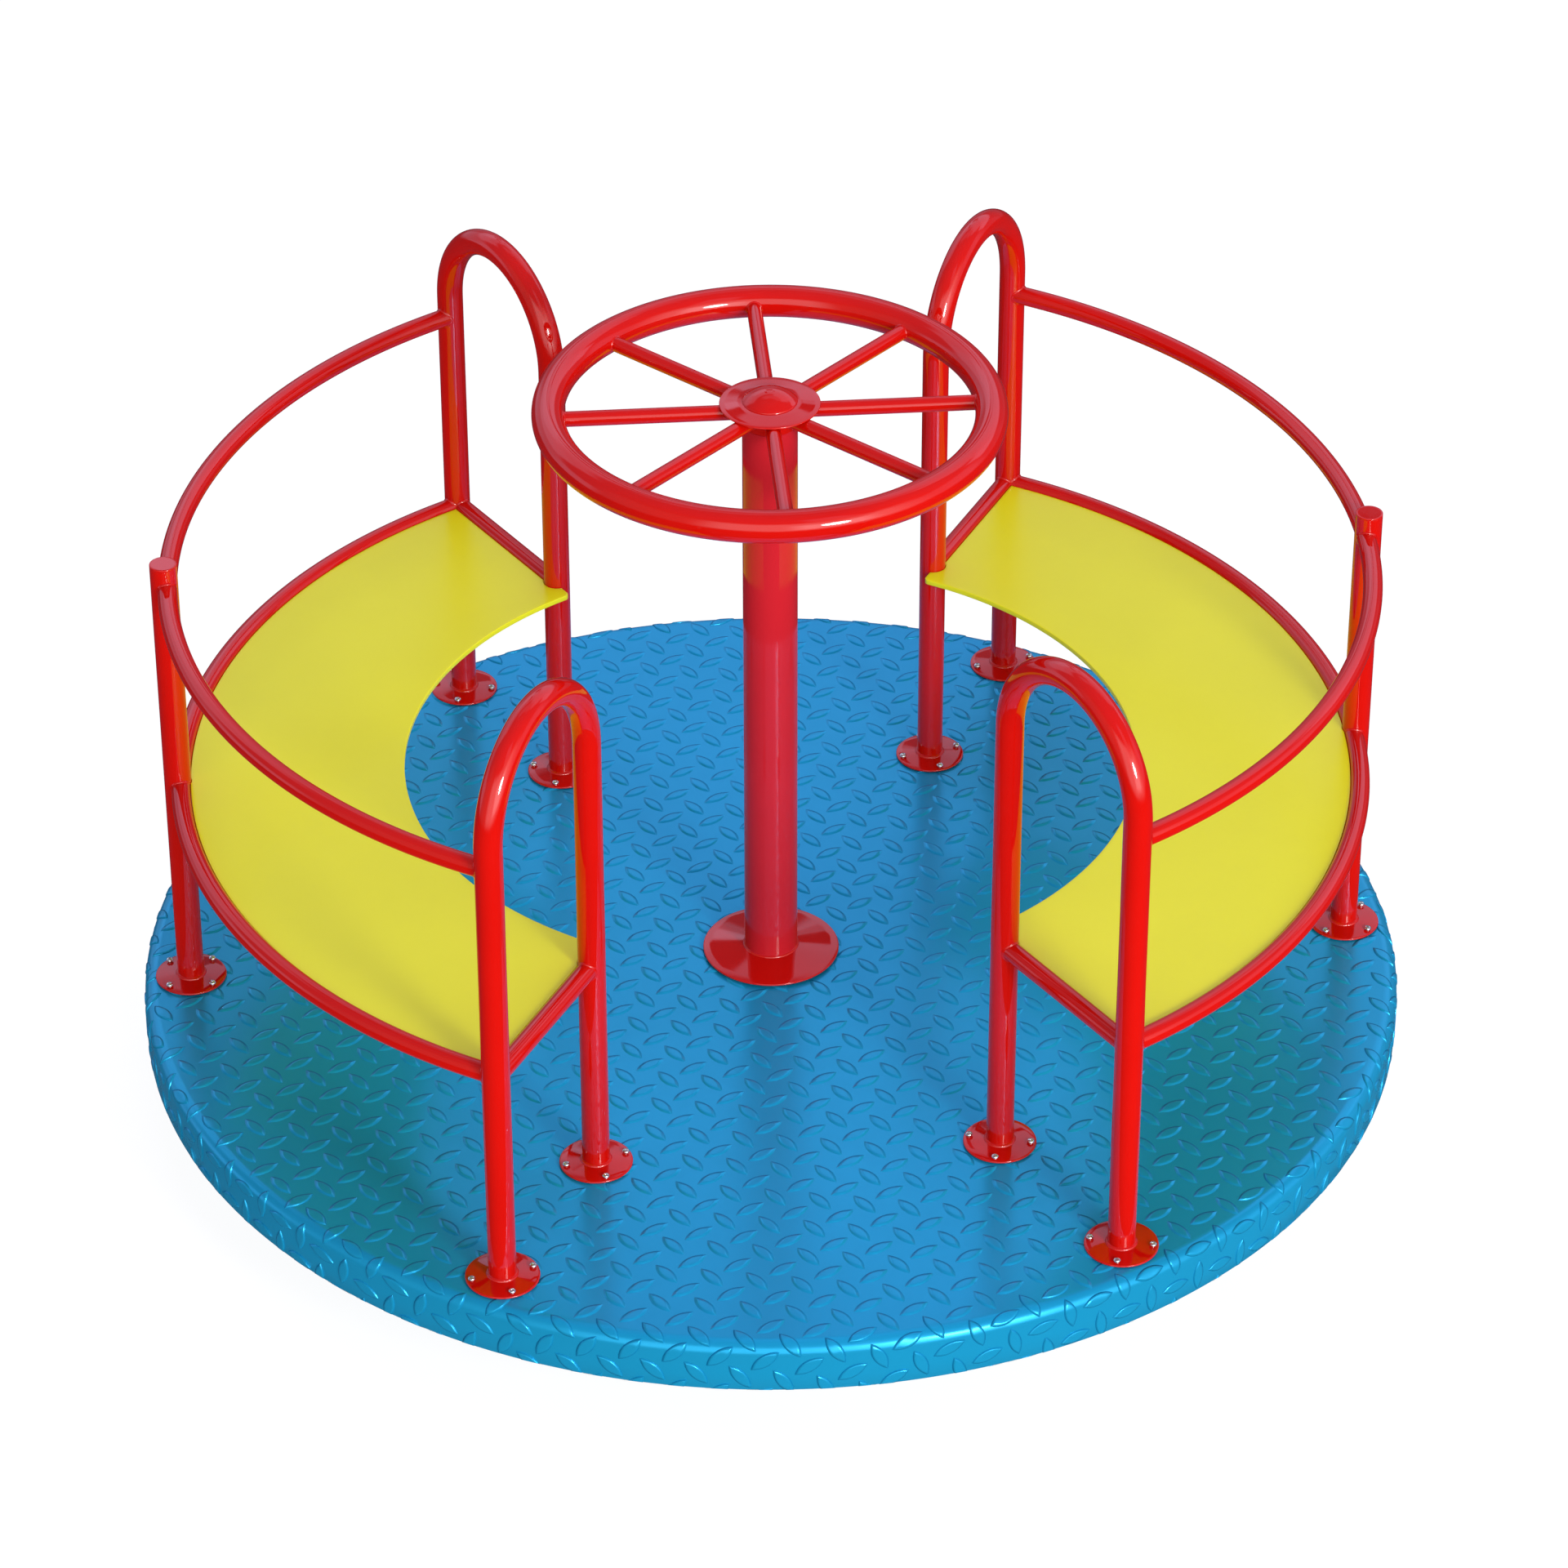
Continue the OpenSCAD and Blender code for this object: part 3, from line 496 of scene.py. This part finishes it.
# ------------------------------------------------------------------- rails ----
def cope(q, d, R=RAIL_R, L=OUT_R):
    """Angle, in radians, from a leg's axis at which a rail line at radius R+q meets the leg's surface."""
    r = R + q
    return np.arccos((r * r + L * L - d * d) / (2 * L * r))


def curved_rail(z, c, n=56):
    """One rail of two lengths, with ends shaped to the tubes they meet, and their weld beads."""
    ph = np.arange(n) * 2 * math.pi / n
    q, zz = RAIL_Q * np.cos(ph), z + RAIL_Q * np.sin(ph)
    s, w = Shell(), Shell()
    for k in (0, 1):
        a0 = math.radians(c - 60 + 60 * k)
        a1 = a0 + math.radians(60)
        da = cope(q, TUBE_R - 0.25)
        t = np.linspace(0, 1, 61)[:, None]
        ang = (a0 + da)[None] * (1 - t) + (a1 - da)[None] * t
        r = (RAIL_R + q)[None]
        v = np.stack([r * np.cos(ang), r * np.sin(ang), np.broadcast_to(zz[None], ang.shape)], -1)
        s.add(v.reshape(-1, 3), grid(61, n, close_c=True) + [list(range(n)), list(range(60 * n, 61 * n))])
        for end, aa, sg in ((0, a0, 1), (1, a1, -1)):
            pp = np.linspace(0, 2 * math.pi, 121)[:-1]
            qq = RAIL_Q * np.cos(pp)
            al = aa + sg * cope(qq, TUBE_R)
            P = np.stack([(RAIL_R + qq) * np.cos(al), (RAIL_R + qq) * np.sin(al), z + RAIL_Q * np.sin(pp)], 1)
            leg = np.array([OUT_R * math.cos(aa), OUT_R * math.sin(aa), 0])
            n1 = unit((P - leg) * [1, 1, 0])
            n2 = np.stack([np.cos(pp) * np.cos(al), np.cos(pp) * np.sin(al), np.sin(pp)], 1)
            w.add(*bead(P, n1, n2, 1.9, ripple=0.04, pitch=2.4))
    return s, w


welds = Shell()
for z, kind in ((BACK_Z, "back"), (SEAT_Z, "seat")):
    for c, side in ((180, "left"), (0, "right")):
        s, w = curved_rail(z, c)
        s.make(f"{kind}_rail_tube_{side}", RED, PLAT, "red_paint", [f"{kind}_rail_{side}"])
        welds.add(np.concatenate(w.v), w.f)
s = Shell()
n = 48
ph = np.arange(n) * 2 * math.pi / n
y, zz = RAIL_Q * np.cos(ph), SEAT_Z + RAIL_Q * np.sin(ph)
dx = np.sqrt((TUBE_R - 0.25) ** 2 - y * y)
t = np.linspace(0, 1, 9)[:, None]
x = (IN_R + dx)[None] * (1 - t) + (OUT_R - dx)[None] * t
v = np.stack([x, np.broadcast_to(y[None], x.shape), np.broadcast_to(zz[None], x.shape)], -1).reshape(-1, 3)
s.copies(v, grid(9, n, close_c=True) + [list(range(n)), list(range(8 * n, 9 * n))],
         [(rot(a), (0, 0, 0)) for a in LEGS])
s.make("end_rail_tubes", RED, PLAT, "red_paint", ["end_rails"])
pp = np.linspace(0, 2 * math.pi, 121)[:-1]
y = RAIL_Q * np.cos(pp)
for x0, sg in ((IN_R, 1), (OUT_R, -1)):
    P = np.stack([x0 + sg * np.sqrt(TUBE_R ** 2 - y * y), y, SEAT_Z + RAIL_Q * np.sin(pp)], 1)
    v, f = bead(P, (P - [x0, 0, 0]) * [1, 1, 0], np.stack([0 * pp, np.cos(pp), np.sin(pp)], 1), 1.9,
                ripple=0.04, pitch=2.4)
    welds.copies(v, f, [(rot(a), (0, 0, 0)) for a in LEGS])
welds.make("rail_welds", RED, PLAT, "red_paint", sharp=80)


# ------------------------------------------------------------------- seats ----
def seat_outline():
    """The board's outline at +X: half of it from the axis outwards, then mirrored."""
    in_r, out_r, cr, gap, end, lobe = 515.0, 814.25, 7.0, 0.3, 13.75, 4.0
    nr = TUBE_R + gap
    fv = lobe + cr
    fu = math.sqrt((in_r + cr) ** 2 - fv * fv)
    half = []                               # in the seat's frame, y > 0
    beta = math.radians(60) - math.atan2(fv, fu)
    half += [(in_r * math.cos(t), in_r * math.sin(t)) for t in np.linspace(0, beta, 61)[1:]]
    c60, s60 = math.cos(math.radians(60)), math.sin(math.radians(60))
    uv = []
    a0 = math.atan2(fv, -fu)                # from the corner's centre towards the origin
    for t in np.linspace(a0, math.pi / 2, 9)[1:]:
        uv.append((fu + cr * math.cos(t), -fv + cr * math.sin(t)))
    g0 = math.atan2(-lobe, -math.sqrt(nr * nr - lobe * lobe)) + 2 * math.pi
    g1 = math.atan2(-end, math.sqrt(nr * nr - end * end)) + 2 * math.pi
    for t in np.linspace(g0, g1, 21):
        uv.append((IN_R + nr * math.cos(t), nr * math.sin(t)))
    uv.append((700, -end))
    uv.append((math.sqrt(out_r ** 2 - end * end), -end))
    half += [(u * c60 - v * s60, u * s60 + v * c60) for u, v in uv]
    px = (out_r ** 2 + OUT_R ** 2 - nr * nr) / (2 * OUT_R)
    py = math.sqrt(out_r ** 2 - px * px)
    b1 = math.atan2(half[-1][1], half[-1][0])
    half += [(out_r * math.cos(t), out_r * math.sin(t)) for t in np.linspace(b1, math.atan2(py, px), 81)[1:]]
    k0 = math.atan2(py, px - OUT_R)
    half += [(OUT_R + nr * math.cos(t), nr * math.sin(t)) for t in np.linspace(k0, math.pi, 9)[1:-1]]
    return np.array([(in_r, 0.0)] + half + [(OUT_R - nr, 0.0)] + [(x, -y) for x, y in half[::-1]])


def inset(p, d):
    """p moved inwards by d; p runs anticlockwise."""
    a = unit(p - np.roll(p, 1, 0))
    b = unit(np.roll(p, -1, 0) - p)
    na, nb = np.stack([-a[:, 1], a[:, 0]], 1), np.stack([-b[:, 1], b[:, 0]], 1)
    m = unit(na + nb)
    return p + m * (d / np.maximum((m * na).sum(1, keepdims=True), 0.5))


seat_p = seat_outline()
area = 0.5 * np.sum(seat_p[:, 0] * np.roll(seat_p[:, 1], -1) - np.roll(seat_p[:, 0], -1) * seat_p[:, 1])
if area < 0:
    seat_p = seat_p[::-1]
er = 1.1                                     # rounding of the board's edges
rows = [(inset(seat_p, 4.0), SEAT_LO), (inset(seat_p, er), SEAT_LO)]
for t in (30, 60):
    rows.append((inset(seat_p, er - er * math.sin(math.radians(t))), SEAT_LO + er - er * math.cos(math.radians(t))))
rows += [(seat_p, SEAT_LO + er), (seat_p, SEAT_HI - er)]
for t in (60, 30):
    rows.append((inset(seat_p, er - er * math.sin(math.radians(t))), SEAT_HI - er + er * math.cos(math.radians(t))))
rows += [(inset(seat_p, er), SEAT_HI), (inset(seat_p, 4.0), SEAT_HI)]
m = len(seat_p)
v = np.concatenate([np.concatenate([p, np.full((m, 1), z)], 1) for p, z in rows])
f = grid(len(rows), m, close_c=True) + [list(range(m)), list(range((len(rows) - 1) * m, len(rows) * m))]
for a, name in ((0, "right"), (180, "left")):
    Shell().copies(v, f, [(rot(a), (0, 0, 0))]).make(f"seat_board_{name}", YELLOW, PLAT, "yellow_board",
                                                     [f"seat_{name}"], sharp=60)

# --------------------------------------------------- column and hand wheel ----
prof = [(COL_R - 6, COL_LO), (COL_R, COL_LO), (COL_R, 300), (COL_R, 700), (COL_R, COL_HI - 0.8),
        (COL_R - 0.8, COL_HI), (COL_R - 6, COL_HI)]
Shell().add(*lathe(prof, 96)).make("column_tube", COLUMN_RED_WITH_PAINTED_REFLECTION, BASE, "red_paint", ["column"])
prof = [(COL_R - 0.2, COVER_Z), (COVER_R - 1.6, COVER_Z)] + arc(COVER_R - 1.6, COVER_Z + 1.6, 1.6, -90, 85, 11)
prof += [(COVER_R - 1.6 - k * (COVER_R - 1.6 - COL_R) / 5, COVER_Z + 3.2 + k) for k in (1, 2, 3, 4)]
prof += [(COL_R - 0.2, COVER_Z + 8.2)]
Shell().add(*lathe(prof, 180)).make("column_cover_plate", RED, BASE, "red_paint", ["column_cover"], sharp=50)
th = np.linspace(0, 2 * math.pi, 241)[:-1]
ring = np.stack([COL_R * np.cos(th), COL_R * np.sin(th), np.full(240, COVER_Z + 8.2)], 1)
out = np.stack([np.cos(th), np.sin(th), 0 * th], 1)
base_welds = Shell()
base_welds.add(*bead(ring, out, [[0, 0, 1.0]] * 240, 2.2, ripple=0.03, pitch=3))

t = np.linspace(0, 2 * math.pi, 241)[:-1]
out = np.stack([np.cos(t), np.sin(t), 0 * t], 1)
v, f = tube(out * WHEEL_R + [0, 0, WHEEL_Z], out, [[0, 0, 1]] * 240, WHEEL_Q, 64, close=True)
Shell().add(v, f).make("wheel_rim_tube", RED, BASE, "red_paint", ["wheel_rim"])

n = 40
ph = np.arange(n) * 2 * math.pi / n
y, zz = SPOKE_Q * np.cos(ph), SPOKE_Z + SPOKE_Q * np.sin(ph)
x0 = np.sqrt((COL_R - 0.3) ** 2 - y * y)


def rim_reach(y, z, q):
    """How far out a line at (y, z) goes before it meets the rim tube's surface of radius q."""
    rho = WHEEL_R - np.sqrt(q * q - (z - WHEEL_Z) ** 2)
    return np.sqrt(rho * rho - y * y)


x1 = rim_reach(y, zz, WHEEL_Q - 0.3)
t = np.linspace(0, 1, 9)[:, None]
x = x0[None] * (1 - t) + x1[None] * t
v = np.stack([x, np.broadcast_to(y[None], x.shape), np.broadcast_to(zz[None], x.shape)], -1).reshape(-1, 3)
spokes = Shell().copies(v, grid(9, n, close_c=True) + [list(range(n)), list(range(8 * n, 9 * n))],
                        [(rot(45 * k), (0, 0, 0)) for k in range(8)])
spokes.make("wheel_spoke_tubes", RED, BASE, "red_paint", ["wheel_spokes"])
y, zz = SPOKE_Q * np.cos(pp), SPOKE_Z + SPOKE_Q * np.sin(pp)
P = np.stack([rim_reach(y, zz, WHEEL_Q), y, zz], 1)
rim_c = P * [1, 1, 0] / np.linalg.norm(P[:, :2], axis=1)[:, None] * WHEEL_R + [0, 0, WHEEL_Z]
n2 = np.stack([0 * pp, np.cos(pp), np.sin(pp)], 1)
v, f = bead(P, P - rim_c, n2, 1.5, ripple=0.03, pitch=2.2)
base_welds.copies(v, f, [(rot(45 * k), (0, 0, 0)) for k in range(8)])
P = np.stack([np.sqrt(COL_R ** 2 - y * y), y, zz], 1)
v, f = bead(P, P * [1, 1, 0], n2, 1.5, ripple=0.03, pitch=2.2)
base_welds.copies(v, f, [(rot(45 * k), (0, 0, 0)) for k in range(8)])
base_welds.make("wheel_welds", RED, BASE, "red_paint", sharp=80)

prof = [(0, DISC_Z), (DISC_R - 1.25, DISC_Z)] + arc(DISC_R - 1.25, DISC_Z + 1.25, 1.25, -90, 86, 9)
prof += [(DISC_R - 1.25 - k * (DISC_R - 1.25 - COL_R) / 4, DISC_Z + 2.5 + 0.7 * k) for k in (1, 2, 3)]
prof += [(COL_R + 0.4, DISC_Z + 5.3), (0, DISC_Z + 5.3)]
Shell().add(*lathe(prof, 180, closed=False)).make("hub_cover_disc", RED, BASE, "red_paint", ["hub_disc"], sharp=50)
h = DOME_TOP - DOME_Z - 1.0
R = (COL_R ** 2 + h * h) / (2 * h)
zc = DOME_TOP - R
amax = math.degrees(math.asin(COL_R / R))
prof = [(0, DOME_Z - 0.4), (COL_R - 1.2, DOME_Z - 0.4), (COL_R, DOME_Z), (COL_R, DOME_Z + 0.35)]
prof += [(R * math.sin(math.radians(a)), zc + R * math.cos(math.radians(a))) for a in np.linspace(amax * 0.992, 0, 26)]
Shell().add(*lathe(prof, 120, closed=False)).make("column_dome", RED, BASE, "red_paint", ["dome_cap"], sharp=50)

# ------------------------------------------------------- floor, light, view ----
me = bpy.data.meshes.new("studio_floor")
me.from_pydata([(-30, -30, 0), (30, -30, 0), (30, 30, 0), (-30, 30, 0)], [], [(0, 1, 2, 3)])
floor = bpy.data.objects.new("studio_floor", me)
floor.location = (0, 0, -0.002)
bpy.context.scene.collection.objects.link(floor)
FLOOR = finish_material("floor_pale", (0.12, 0.12, 0.12), (0.13, 0.13, 0.13), (0.6, 0.7), scale=1.5, fine=60,
                        bump=0.00001, spec=0.1)
FLOOR.node_tree.nodes["Principled BSDF"].inputs["Emission Color"].default_value = (1, 1, 1, 1)
FLOOR.node_tree.nodes["Principled BSDF"].inputs["Emission Strength"].default_value = 0.93
nt = FLOOR.node_tree
below = node(nt, "ShaderNodeNewGeometry").outputs["Backfacing"]
mx = node(nt, "ShaderNodeMixShader")
nt.links.new(below, mx.inputs[0])
nt.links.new(nt.nodes["Principled BSDF"].outputs["BSDF"], mx.inputs[1])
nt.links.new(node(nt, "ShaderNodeBsdfTransparent").outputs["BSDF"], mx.inputs[2])
nt.links.new(mx.outputs["Shader"], nt.nodes["Material Output"].inputs["Surface"])
me.materials.append(FLOOR)
floor.visible_glossy = False

# the studio round the object: soft panels on a dark room, placed by azimuth from the view's heading (to the
# right) and by elevation, in degrees
HEADING = 4.564
world = bpy.data.worlds.new("studio")
bpy.context.scene.world = world
world.use_nodes = True
nt = world.node_tree
bg = nt.nodes["Background"]
tc = node(nt, "ShaderNodeTexCoord")
nrm = node(nt, "ShaderNodeVectorMath", operation="NORMALIZE")
nt.links.new(tc.outputs["Generated"], nrm.inputs[0])
sep = node(nt, "ShaderNodeSeparateXYZ")
nt.links.new(nrm.outputs["Vector"], sep.inputs["Vector"])
azim = math_node(nt, "SUBTRACT", math_node(nt, "DEGREES", math_node(nt, "ARCTAN2", sep.outputs["X"], sep.outputs["Y"])),
                 HEADING)
elev = math_node(nt, "DEGREES", math_node(nt, "ARCSINE", sep.outputs["Z"]))


def edge(src, half, soft):
    m = node(nt, "ShaderNodeMapRange", interpolation_type="SMOOTHSTEP")
    m.inputs["From Min"].default_value = half + soft / 2
    m.inputs["From Max"].default_value = half - soft / 2
    m.inputs["To Min"].default_value = 0
    m.inputs["To Max"].default_value = 1
    nt.links.new(src, m.inputs["Value"])
    return m.outputs["Result"]


def panel(level, az, az_half, az_soft, el, el_half, el_soft, value):
    mask = edge(math_node(nt, "ABSOLUTE", math_node(nt, "SUBTRACT", elev, el)), el_half, el_soft)
    if az is not None:
        d = math_node(nt, "ABSOLUTE", math_node(nt, "WRAP", math_node(nt, "SUBTRACT", azim, az), 180, -180))
        mask = math_node(nt, "MULTIPLY", mask, edge(d, az_half, az_soft))
    return math_node(nt, "MULTIPLY_ADD", mask, math_node(nt, "SUBTRACT", value, level), level)


STUDIO = (                                  # azimuth, half width, edge; elevation, half height, edge; radiance
    (None, 0, 0, 43, 47, 7, 0.20),
    (-130, 36, 24, 20, 20, 14, 0.32),
    (-76, 18, 12, 5, 10, 7, 0.75),
    (-45, 22, 12, 10, 12, 8, 0.50),
    (-6, 12, 6, 8, 12, 7, 0.24),
    (24, 18, 8, 8, 12, 7, 0.14),
    (-5, 54, 10, 34, 14, 7, 0.74),
    (-5, 54, 10, 29, 9, 6, 0.86),
    (32, 22, 10, 49, 9, 6, 0.80),
    (8, 36, 14, 60, 6, 6, 0.48),
    (-18, 12, 5, 31, 5, 4, 1.08),
    (54, 8, 5, 27, 8, 5, 1.00),
    (-1, 5, 1.5, 26.5, 3.2, 1.2, 0.16),
    (-5.4, 1.2, 0.6, 29.8, 1.3, 0.8, 0.60),
    (-7.1, 0.9, 0.5, 32, 1.8, 0.8, 1.35),
    (-8, 2.0, 1.0, 38.5, 5, 1.5, 0.10),
    (7.0, 1.3, 0.6, 33, 2.0, 0.8, 0.08),
    (5.8, 0.8, 0.5, 30, 0.8, 0.5, 0.55),
    (90, 22, 16, 14, 14, 10, 0.55),
    (182, 28, 22, 20, 21, 14, 1.65),
    (144, 14, 10, 52, 12, 8, 0.60),
    (150, 38, 30, 18, 20, 18, 1.60),
    (150, 18, 14, 16, 13, 10, 3.60),
)
level = math_node(nt, "ADD", 0.05, 0.0)
for row in STUDIO:
    level = panel(level, *row)
# the back and the ceiling of the studio are a little cooler than its window side
back = edge(math_node(nt, "ABSOLUTE", azim), 100, 50)
over = edge(math_node(nt, "SUBTRACT", 90, elev), 40, 30)
cool = math_node(nt, "MAXIMUM", back, over)
sky = node(nt, "ShaderNodeCombineXYZ")
for k, gain in enumerate((-0.05, -0.02, 0.34)):
    nt.links.new(math_node(nt, "MULTIPLY", level, math_node(nt, "MULTIPLY_ADD", cool, gain, 1.0)), sky.inputs[k])
nt.links.new(sky.outputs["Vector"], bg.inputs["Color"])
bg.inputs["Strength"].default_value = 1.0


def area(name, az, el, dist, target, size, power, glossy=True, tint=(1, 1, 1)):
    """A round soft light, placed like the panels."""
    a, e = math.radians(az + HEADING), math.radians(el)
    loc = Vector(target) + dist * Vector((math.sin(a) * math.cos(e), math.cos(a) * math.cos(e), math.sin(e)))
    li = bpy.data.lights.new(name, "AREA")
    li.shape = "DISK"
    li.energy = power
    li.color = tint
    li.size = size
    o = bpy.data.objects.new(name, li)
    o.location = loc
    o.rotation_euler = (Vector(target) - loc).to_track_quat("-Z", "Y").to_euler()
    o.visible_glossy = glossy
    bpy.context.scene.collection.objects.link(o)
    return o


area("key_soft", 150, 21, 7.0, (0, 0, 0.7), 1.6, 226)
area("top_soft", 0, 80, 6.0, (0, 0, 0.4), 4.0, 122, glossy=False, tint=(0.93, 0.97, 1.35))

bpy.context.scene.view_settings.view_transform = "Standard"
bpy.context.scene.view_settings.look = "None"

cam = bpy.data.cameras.new("cam")
cam.lens, cam.sensor_width, cam.sensor_fit = 136.64, 36.0, "HORIZONTAL"
cam.clip_start, cam.clip_end = 0.1, 200
co = bpy.data.objects.new("cam", cam)
bpy.context.scene.collection.objects.link(co)
pitch, yaw, roll, spin = (math.radians(x) for x in (34.068, 0.155, -0.035, -4.409))
F = Vector((math.sin(yaw) * math.cos(pitch), math.cos(yaw) * math.cos(pitch), -math.sin(pitch)))
Rg = Vector((math.cos(yaw), -math.sin(yaw), 0))
U = Rg.cross(F)
Rg2 = math.cos(roll) * Rg + math.sin(roll) * U
U2 = -math.sin(roll) * Rg + math.cos(roll) * U
Z = Matrix.Rotation(spin, 3, "Z")
Rg2, U2, F = Z @ Rg2, Z @ U2, Z @ F
M = Matrix((( Rg2.x, U2.x, -F.x), (Rg2.y, U2.y, -F.y), (Rg2.z, U2.z, -F.z)))
co.matrix_world = Matrix.Translation((-0.5357, -6.9474, 5.1666)) @ M.to_4x4()
bpy.context.scene.camera = co
